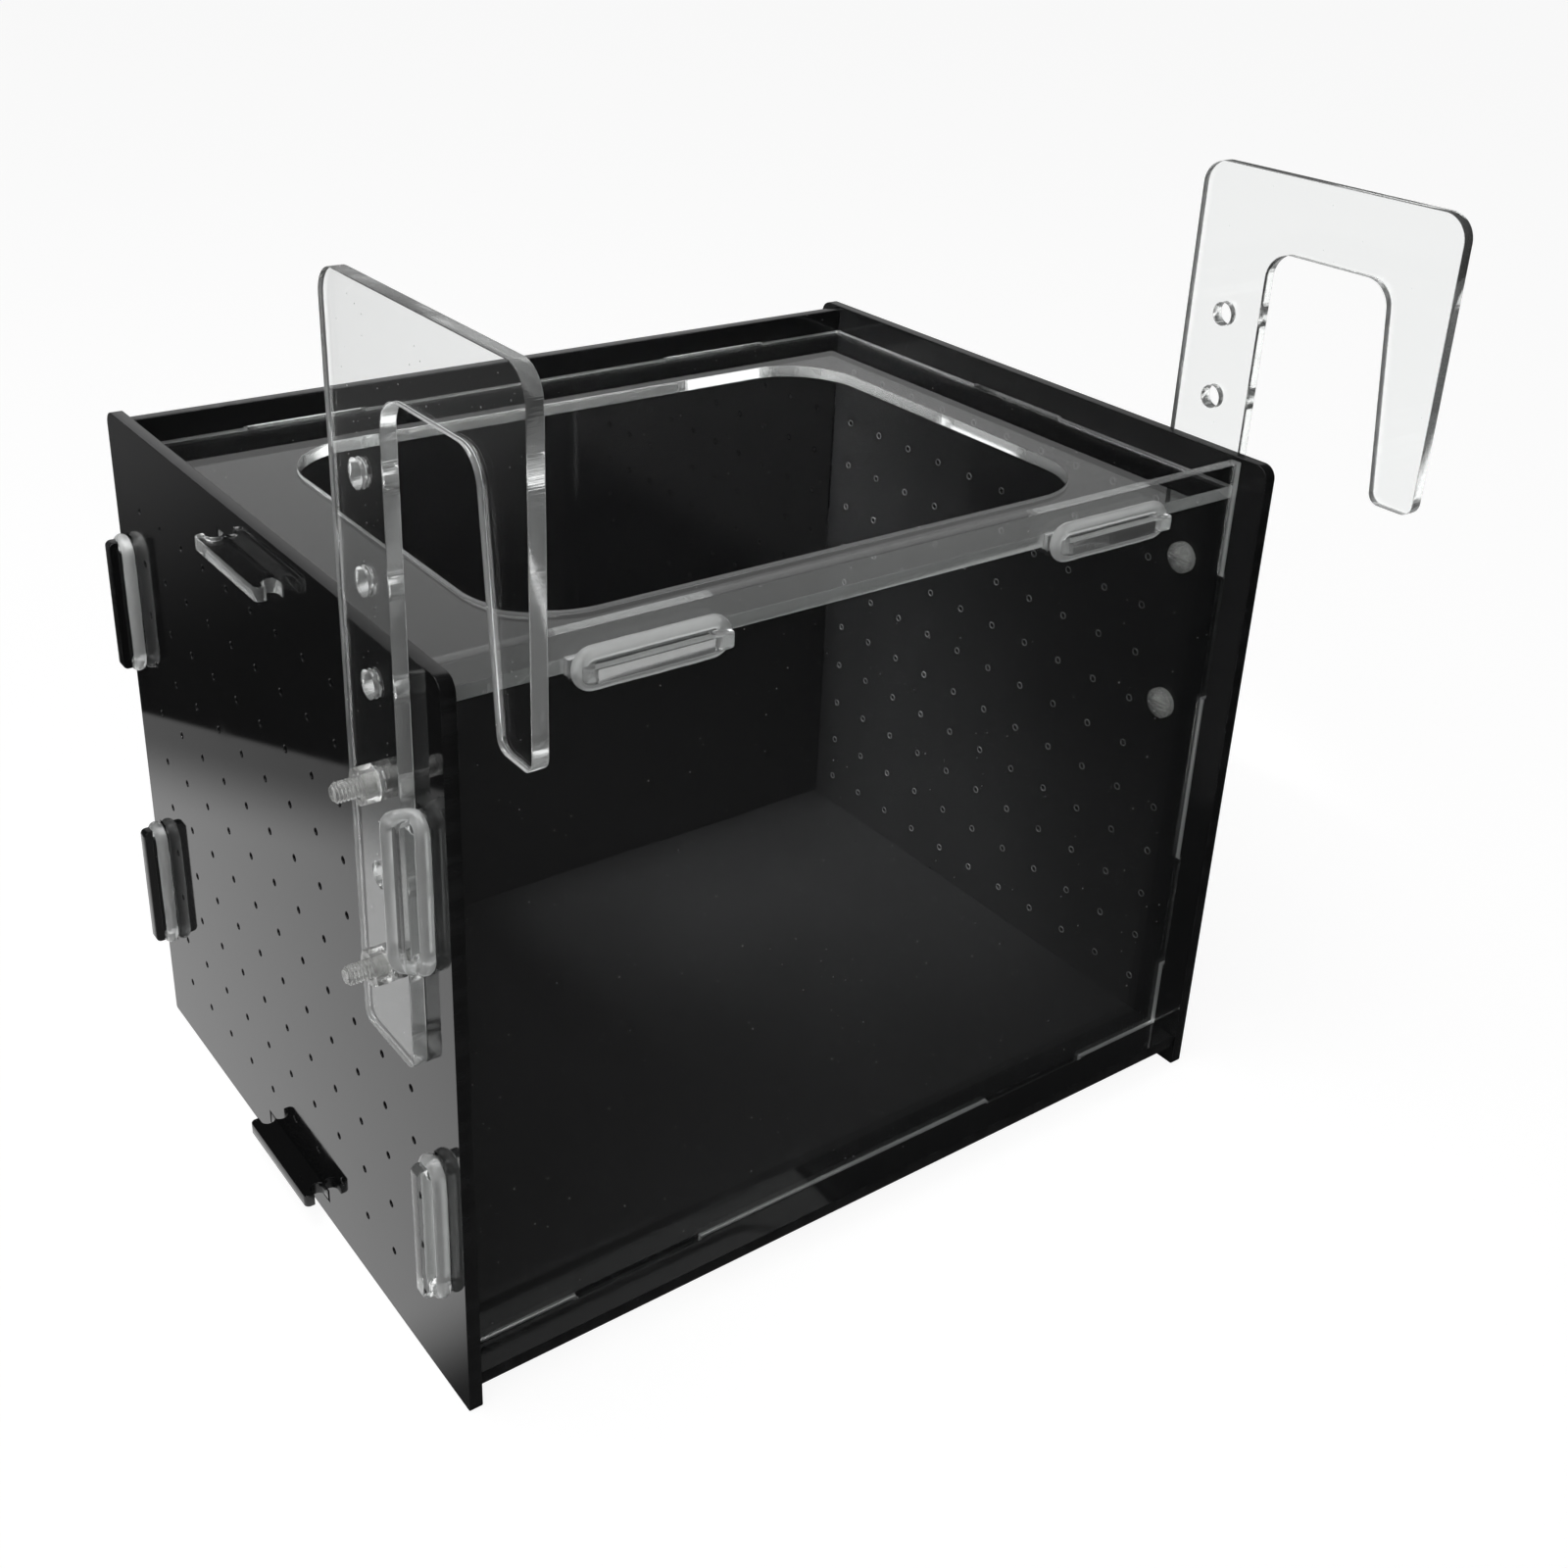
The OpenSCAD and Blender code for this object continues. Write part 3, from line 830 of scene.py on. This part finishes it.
def hole_lips() -> Recipe:
    """Melted lips round a grid of cut holes, on one face of an upright side sheet.

    Returns:
        The recipe.
    """
    recipe = Recipe("hole_lips", {
        "Columns": 11, "Rows": 11, "First Column Rows": 5, "Pitch": 0.0128,
        "First": (0.0, 0.0, 0.0), "Lip Radius": 0.00085, "Bead": 0.00016})
    wiring, given = recipe.wiring, recipe.given
    spans = [wiring.times(wiring.minus(given[label], 1.0), given["Pitch"]) for label in ("Columns", "Rows")]
    grid = wiring.out("GeometryNodeMeshGrid", {"Size X": spans[0], "Size Y": spans[1],
                                              "Vertices X": given["Columns"], "Vertices Y": given["Rows"]})
    place = wiring.parts("GeometryNodeInputPosition")
    column, row = (wiring.math("DIVIDE", wiring.math("MULTIPLY_ADD", span, 0.5, place[i]), given["Pitch"])
                   for i, span in enumerate(spans))
    above = wiring.math("GREATER_THAN", row, wiring.minus(given["First Column Rows"], 0.5))
    bare = wiring.times(above, wiring.math("LESS_THAN", column, 0.5))
    points = wiring.out("GeometryNodeDeleteGeometry", {"Geometry": grid, "Selection": bare}, domain="POINT")
    circle, section = (
        wiring.out("GeometryNodeCurvePrimitiveCircle", {"Resolution": count, "Radius": given[label]})
        for count, label in ((18, "Lip Radius"), (6, "Bead")))
    bead = wiring.out("GeometryNodeCurveToMesh", {"Curve": circle, "Profile Curve": section})
    lips = wiring.out("GeometryNodeInstanceOnPoints", {"Points": points, "Instance": bead})
    middle = wiring.vector(y=wiring.times(spans[0], 0.5), z=wiring.times(spans[1], 0.5))
    corner = wiring.out("ShaderNodeVectorMath", {0: middle, 1: given["First"]}, operation="ADD")
    placed = recipe.moved(lips, corner, (math.pi / 2, 0.0, math.pi / 2))
    recipe.finish(wiring.out("GeometryNodeSetShadeSmooth", {0: placed}))
    return recipe


@dataclass
class Shell:
    """The six sheets of the box and the water holes' lips."""

    shop: "Workshop"
    hole_pitch: float = 12.8 * MM
    first_hole: Span = (19.9 * MM, 17.5 * MM)
    lip_radius: float = 0.83 * MM
    sheets: dict[str, Axis] = field(default_factory=lambda: {
        "left_side_plate": Axis.X, "right_side_plate": Axis.X, "back_plate": Axis.Y,
        "front_panel": Axis.Y, "top_panel": Axis.Z, "bottom_panel": Axis.Z})
    clear: tuple[str, ...] = ("front_panel", "top_panel")

    def build(self) -> None:
        """Cuts the sheets and lays the lips on the side plates' inner faces."""
        for node, axis in self.sheets.items():
            slot = "clear_acrylic" if node in self.clear else "black_acrylic"
            CutSheet(self.shop, node, axis, "box", slot).build()
        for side in Side:
            low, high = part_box(f"{side.label}_side_plate")
            inner = high.x if side is Side.LEFT else low.x
            lips = self.shop.lips.make(f"{side.label}_water_hole_lips", {
                "First": (inner, low.y + self.first_hole[0], low.z + self.first_hole[1]),
                "Pitch": self.hole_pitch, "Lip Radius": self.lip_radius}, self.shop.lip)
            seat(lips, "box", "black_acrylic")


@dataclass
class Hanger:
    """One hook with its two screws and two nuts."""

    shop: "Workshop"
    side: Side
    screw_length: float = 14 * MM
    nut_height: float = 3.2 * MM
    nut_flats: float = 7 * MM
    nut_steps: int = 72
    bore_radius: float = 2.05 * MM
    countersink: float = 0.35 * MM
    chamfer_start: float = 0.97
    chamfer: float = math.radians(28)
    screw_crease: float = math.radians(40)
    nut_crease: float = math.radians(25)

    def build(self) -> None:
        """Cuts the hook and adds its hardware."""
        hook = f"{self.side.label}_hook"
        CutSheet(self.shop, hook, Axis.X, hook, "clear_acrylic").build()
        for level in Level:
            self.build_screw(level)
            self.build_nut(level)

    def axis_point(self, node: str, inner: bool) -> tuple[Vector, Euler]:
        """Finds where a screw or nut stands.

        Args:
            node: Its CAD node.
            inner: True to take the end nearer the box's middle.

        Returns:
            The point on its axis and the turn that points +Z outwards.
        """
        low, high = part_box(node)
        x = (high if (self.side is Side.LEFT) == inner else low).x
        return (Vector((x, (low.y + high.y) / 2, (low.z + high.z) / 2)),
                Euler((0.0, self.side.value * math.pi / 2, 0.0)))

    def build_screw(self, level: Level) -> None:
        """Makes one screw.

        Args:
            level: The upper or the lower screw.
        """
        node = f"{self.side.label}_{level.label}_screw"
        end, turn = self.axis_point(node, inner=False)
        place = end - Vector((self.side.value * self.screw_length, 0.0, 0.0))
        screw = self.shop.screw.make(f"{node}_moulded", {
            "Place": tuple(place), "Tilt": tuple(turn), "Length": self.screw_length}, self.shop.nylon)
        soften(screw.data, self.screw_crease)
        seat(screw, node, "clear_nylon", node)

    def build_nut(self, level: Level) -> None:
        """Makes one hex nut with chamfered corners and a countersunk bore.

        Args:
            level: The upper or the lower nut.
        """
        node = f"{self.side.label}_{level.label}_nut"
        start, turn = self.axis_point(node, inner=True)
        flat, height, sink = self.nut_flats / 2, self.nut_height, self.countersink
        mouth, chamfered = self.bore_radius + sink, flat * self.chamfer_start
        bm, rows = bmesh.new(), []
        for radius, level_z, is_hex in (
                (self.bore_radius, sink, False), (mouth, 0.0, False), (chamfered, 0.0, False),
                (flat, 0.0, True), (flat, height, True), (chamfered, height, False),
                (mouth, height, False), (self.bore_radius, height - sink, False)):
            row = []
            for i in range(self.nut_steps):
                angle = 2 * math.pi * i / self.nut_steps
                reach = radius / math.cos(angle % (math.pi / 3) - math.pi / 6) if is_hex else radius
                drop = max(0.0, reach - chamfered) * math.tan(self.chamfer)
                z = level_z + (drop if level_z == 0.0 else -drop)
                row.append(bm.verts.new((reach * math.cos(angle), reach * math.sin(angle), z)))
            rows.append(row)
        for row, other in zip(rows, rows[1:] + rows[:1]):
            for i in range(self.nut_steps):
                j = (i + 1) % self.nut_steps
                bm.faces.new((row[i], row[j], other[j], other[i]))
        bmesh.ops.recalc_face_normals(bm, faces=bm.faces)
        bm.transform(Matrix.Translation(start) @ turn.to_matrix().to_4x4())
        nut = piece_of(f"{node}_moulded", bm, self.shop.nylon)
        soften(nut.data, self.nut_crease)
        seat(nut, node, "clear_nylon", node)


def soften(mesh: Mesh, angle: float) -> None:
    """Shades a mesh smooth but for its sharp edges.

    Args:
        mesh: The mesh.
        angle: The least angle of a sharp edge.
    """
    bm = bmesh.new()
    bm.from_mesh(mesh)
    for face in bm.faces:
        face.smooth = True
    for edge in bm.edges:
        edge.smooth = len(edge.link_faces) == 2 and edge.calc_face_angle() < angle
    bm.to_mesh(mesh)
    bm.free()


@dataclass
class Rings:
    """The elastic rings that lock the tabs."""

    shop: "Workshop"
    cord_radius: float = 1.5 * MM
    length: float = 31.6 * MM
    gape: float = 6 * MM
    lift: float = 3.65 * MM

    def build(self) -> None:
        """Places all sixteen rings."""
        upright, lying, across = (0.0, -math.pi / 2, 0.0), (math.pi / 2, 0.0, 0.0), (0.0, 0.0, 0.0)
        for side in Side:
            for level in Level:
                lift = -side.value * self.lift if level is Level.UPPER else 0.0
                self.place(f"front_{side.label}_{level.label}_ring", upright, lift)
                self.place(f"back_{side.label}_{level.label}_ring", upright)
            for wall in ("front", "back"):
                self.place(f"top_{wall}_{side.label}_ring", lying)
                self.place(f"bottom_{wall}_{side.label}_ring", across)

    def place(self, node: str, tilt: Triple, lift: float = 0.0) -> None:
        """Makes one ring where its CAD node is.

        Args:
            node: The ring's CAD node.
            tilt: Its turn from a loop that lies along X and opens along Y.
            lift: How far its back run stands out over the hook, to the left.
        """
        low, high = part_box(node)
        middle = (low + high) / 2 + Vector((lift / 2, 0.0, 0.0))
        ring = self.shop.ring.make(f"{node}_elastic", {
            "Place": tuple(middle), "Tilt": tilt, "Gape": self.gape, "Turn": self.gape / 2,
            "Length": self.length, "Cord Radius": self.cord_radius, "Lift": lift}, self.shop.rubber)
        seat(ring, "box", "ring_rubber", node)


class Workshop:
    """Every finish and recipe, made once."""

    def __init__(self) -> None:
        """Makes the shared groups, the materials and the recipes."""
        handling_marks()
        cutting_marks()
        finishes = {"black_acrylic": BlackAcrylic(), "clear_acrylic": ClearAcrylic()}
        self.faces = {name: finish.face() for name, finish in finishes.items()}
        self.walls = {(name, axis): finish.wall(axis) for name, finish in finishes.items() for axis in Axis}
        self.nylon = NYLON.build()
        self.rubber = RUBBER.build()
        self.ring = stretched_ring()
        self.screw = threaded_screw()
        self.lips = hole_lips()
        self.lip = MELTED.wall(Axis.X)


@dataclass(frozen=True)
class Lamp:
    """A square soft lamp, or a narrow beam where it has a cone."""

    name: str
    place: Triple
    size: float
    power: float
    aim: Triple = (0.0, 0.0, 0.08)
    cone: float | None = None

    def hang(self) -> None:
        """Hangs the lamp and turns it to what it lights."""
        is_beam = self.cone is not None
        data = bpy.data.lights.new(self.name, "SPOT" if is_beam else "AREA")
        data.energy = self.power
        if is_beam:
            data.shadow_soft_size = self.size
            data.spot_size = self.cone
            data.spot_blend = 1.0
        else:
            data.shape = "SQUARE"
            data.size = self.size
        lamp = linked(self.name, data)
        lamp.location = self.place
        lamp.rotation_euler = (Vector(self.aim) - lamp.location).to_track_quat("-Z", "Y").to_euler()


LAMPS = (
    Lamp("overhead_softbox", (-0.3, 0.12, 0.9), size=0.4, power=1.5),
    Lamp("front_fill", (-1.2, -0.8, 1.5), size=1.6, power=10.0),
    Lamp("corner_beam", (-0.33, 0.1, 0.62), size=0.04, power=54.0, aim=(0.075, 0.085, 0.03),
         cone=math.radians(20.0)))


@dataclass
class Studio:
    """Pale floor, soft light, white surroundings and the camera, with a painted reflection on the floor and
    a painted glow on clear edges.

    A span says where a change starts and ends: in metres along the floor, or as the cosine to a
    direction.
    """

    camera_place: Triple = (-0.22767, -0.31637, 0.30283)
    heading: float = math.radians(-37.34)
    dip: float = math.radians(25.67)
    roll: float = math.radians(2.54)
    lens: float = 43.05
    shift: Span = (0.006, -0.0752)
    floor_half: float = 4.0
    floor_glow: float = 0.92
    floor_albedo: float = 0.24
    lighting_albedo: float = 0.8
    # Painted reflection: the floor glows only for mirrored rays, as a lit table top with a step and a
    # slope.
    bright_mirror: float = 0.85
    dark_mirror: float = 0.012
    front_mirror: Span = (0.065, 0.02)
    rest_mirror: float = 0.3
    far_mirror: float = 0.1
    # Painted highlight: a glow that only rays out of a clear sheet's edge see.
    painted_edge_glow: float = 1.7
    painted_table_line: Triple = (-0.862, 0.507, 0.2675)
    painted_table_step: Span = (0.004, 0.001)
    painted_table_slope: Span = (-0.008, -0.05)
    step_share: float = 0.35
    far_span: Span = (0.3, 0.55)
    right_span: Span = (-0.1, 0.02)
    front_span: Span = (-0.03, -0.06)
    front_width: Span = (-0.06, 0.25)
    object_middle: float = 0.07
    object_span: Span = (0.07, 0.1)
    window_way: Triple = (0.42, 0.79, 0.44)
    window_span: Span = (0.8, 0.99)
    window_glow: Span = (0.05, 0.6)
    beside_window: Span = (0.85, 0.6)
    rear_way: Triple = (-0.3, 0.95, 0.0)
    rear_span: Span = (-0.3, 0.1)
    sky_light: float = 0.06

    def build(self) -> None:
        """Sets up everything around the object."""
        self.floor()
        self.surroundings()
        for lamp in LAMPS:
            lamp.hang()
        self.camera()
        bpy.context.scene.view_settings.view_transform = "Standard"

    def camera(self) -> None:
        """Stands the camera at the photograph's viewpoint."""
        ahead = Vector((-math.sin(self.heading) * math.cos(self.dip),
                        math.cos(self.heading) * math.cos(self.dip), -math.sin(self.dip)))
        right = Vector((math.cos(self.heading), math.sin(self.heading), 0.0))
        up = right.cross(ahead)
        right_rolled = math.cos(self.roll) * right + math.sin(self.roll) * up
        up_rolled = math.cos(self.roll) * up - math.sin(self.roll) * right
        data = bpy.data.cameras.new("photo_camera")
        data.lens = self.lens
        data.sensor_width = 36.0
        data.shift_x, data.shift_y = self.shift
        data.clip_start = 0.01
        data.clip_end = 60.0
        camera = linked("photo_camera", data)
        turned = Matrix((right_rolled, up_rolled, -ahead)).transposed().to_4x4()
        camera.matrix_world = Matrix.Translation(self.camera_place) @ turned
        bpy.context.scene.camera = camera

    def floor(self) -> None:
        """Lays the floor, which looks white and keeps a soft shadow; mirrored rays see a painted reflection
        of a lit table top on it.
        """
        bm = bmesh.new()
        bmesh.ops.create_grid(bm, x_segments=1, y_segments=1, size=self.floor_half)
        material = bpy.data.materials.new("pale_floor")
        wiring = Wiring.blank(material)
        seen, reflected, from_edge = self.rays(wiring, 2)
        albedo = wiring.spread(seen, 0.0, 1.0, self.lighting_albedo, self.floor_albedo)
        matt = wiring.out("ShaderNodeBsdfDiffuse", {
            "Color": wiring.out("ShaderNodeCombineColor", {0: albedo, 1: albedo, 2: albedo})})
        glow = wiring.out("ShaderNodeEmission", {"Strength": wiring.times(seen, self.floor_glow)})
        plain = wiring.out("ShaderNodeAddShader", {0: matt, 1: glow})
        # Painted reflection: this glow is seen by mirrored rays only.
        mirrored = wiring.out("ShaderNodeEmission", {"Strength": self.painted_floor_reflection(wiring, from_edge)})
        surface = wiring.out("ShaderNodeMixShader", {0: reflected, 1: plain, 2: mirrored})
        wiring.add("ShaderNodeOutputMaterial", {"Surface": surface})
        piece_of("floor", bm, material)

    @staticmethod
    def rays(wiring: Wiring, turns: int) -> tuple[NodeSocket, NodeSocket, NodeSocket]:
        """Sorts the rays that reach the floor or the surroundings.

        Args:
            wiring: The material's or world's wiring.
            turns: How many reflections a ray out of a clear sheet's edge has had at least.

        Returns:
            The masks of rays that look straight or through clear pieces, of mirrored rays, and of
            rays that have run to and fro inside one clear sheet and come out of its edge.
        """
        path = wiring.add("ShaderNodeLightPath").outputs
        through = path["Is Transmission Ray"]
        seen = wiring.math("MAXIMUM", path["Is Camera Ray"], through)
        reflected, to_and_fro = (wiring.math("GREATER_THAN", path["Glossy Depth"], least - 0.5)
                                 for least in (1, turns))
        inside_one = wiring.math("LESS_THAN", path["Transmission Depth"], 2.5)
        from_edge = wiring.times(wiring.times(inside_one, to_and_fro), through)
        return seen, reflected, from_edge

    def painted_floor_reflection(self, wiring: Wiring, from_edge: NodeSocket) -> NodeSocket:
        """How bright the painted reflection is: the floor glows for mirrored rays as a lit table top, and
        brighter for rays out of a clear sheet's edge.

        Args:
            wiring: The floor material's wiring.
            from_edge: 1 for a ray that comes out of a clear sheet's edge.

        Returns:
            The strength's socket.
        """
        x, y, _ = wiring.parts("ShaderNodeTexCoord", "Object")
        along_x, along_y, start = self.painted_table_line
        away = wiring.math("ADD", wiring.times(x, along_x), wiring.times(y, along_y))
        away = wiring.minus(away, start)
        step, slope = self.step_share * self.bright_mirror, (1.0 - self.step_share) * self.bright_mirror
        lit = wiring.math("ADD", wiring.spread(away, *self.painted_table_step, self.dark_mirror, step),
                          wiring.spread(away, *self.painted_table_slope, 0.0, slope))
        left = wiring.math("ADD", lit, wiring.spread(y, *self.far_span, 0.0, self.far_mirror))
        # Painted edge glow for rays out of a clear sheet's edge.
        rest = wiring.spread(from_edge, 0.0, 1.0, self.rest_mirror, self.painted_edge_glow)
        side = wiring.towards(left, rest, wiring.spread(x, *self.right_span))
        off_middle = wiring.math("ABSOLUTE", wiring.minus(x, self.object_middle))
        beside = wiring.times(wiring.spread(off_middle, *self.object_span), from_edge)
        front = wiring.spread(x, *self.front_width, *self.front_mirror)
        front = wiring.towards(front, self.painted_edge_glow, beside)
        return wiring.towards(side, front, wiring.spread(y, *self.front_span))

    def surroundings(self) -> None:
        """White to look at and through, dim to light by, and dark with one soft window to mirror; rays out
        of a clear sheet's edge see a painted glow.
        """
        world = bpy.data.worlds.new("soft_studio")
        bpy.context.scene.world = world
        wiring = Wiring.blank(world)
        seen, reflected, from_edge = self.rays(wiring, 1)
        diffuse = wiring.out("ShaderNodeLightPath", key="Is Diffuse Ray")
        ray = wiring.out("ShaderNodeTexCoord", key="Generated")
        window, rear = (
            wiring.out("ShaderNodeVectorMath", {0: ray, 1: way}, key="Value", operation="DOT_PRODUCT")
            for way in (self.window_way, self.rear_way))
        mirrored = wiring.spread(window, *self.window_span, *self.window_glow)
        bright = wiring.times(wiring.spread(rear, *self.rear_span), from_edge)
        bright = wiring.times(bright, wiring.spread(window, *self.beside_window))
        # Painted highlight: rays out of a clear sheet's edge see a bright glow here.
        around = wiring.towards(mirrored, self.painted_edge_glow, bright)
        lighting = wiring.spread(diffuse, 0.0, 1.0, around, self.sky_light)
        straight = wiring.times(seen, wiring.minus(1.0, reflected))
        sky = wiring.out("ShaderNodeBackground", {
            "Strength": wiring.spread(straight, 0.0, 1.0, lighting, 1.0)})
        wiring.add("ShaderNodeOutputWorld", {"Surface": sky})


def main() -> None:
    """Builds the object and its surroundings."""
    logging.basicConfig(level=logging.INFO, format="%(message)s", stream=sys.stdout)
    shop = Workshop()
    Shell(shop).build()
    for side in Side:
        Hanger(shop, side).build()
    Rings(shop).build()
    Studio().build()


if __name__ == "__main__":
    main()
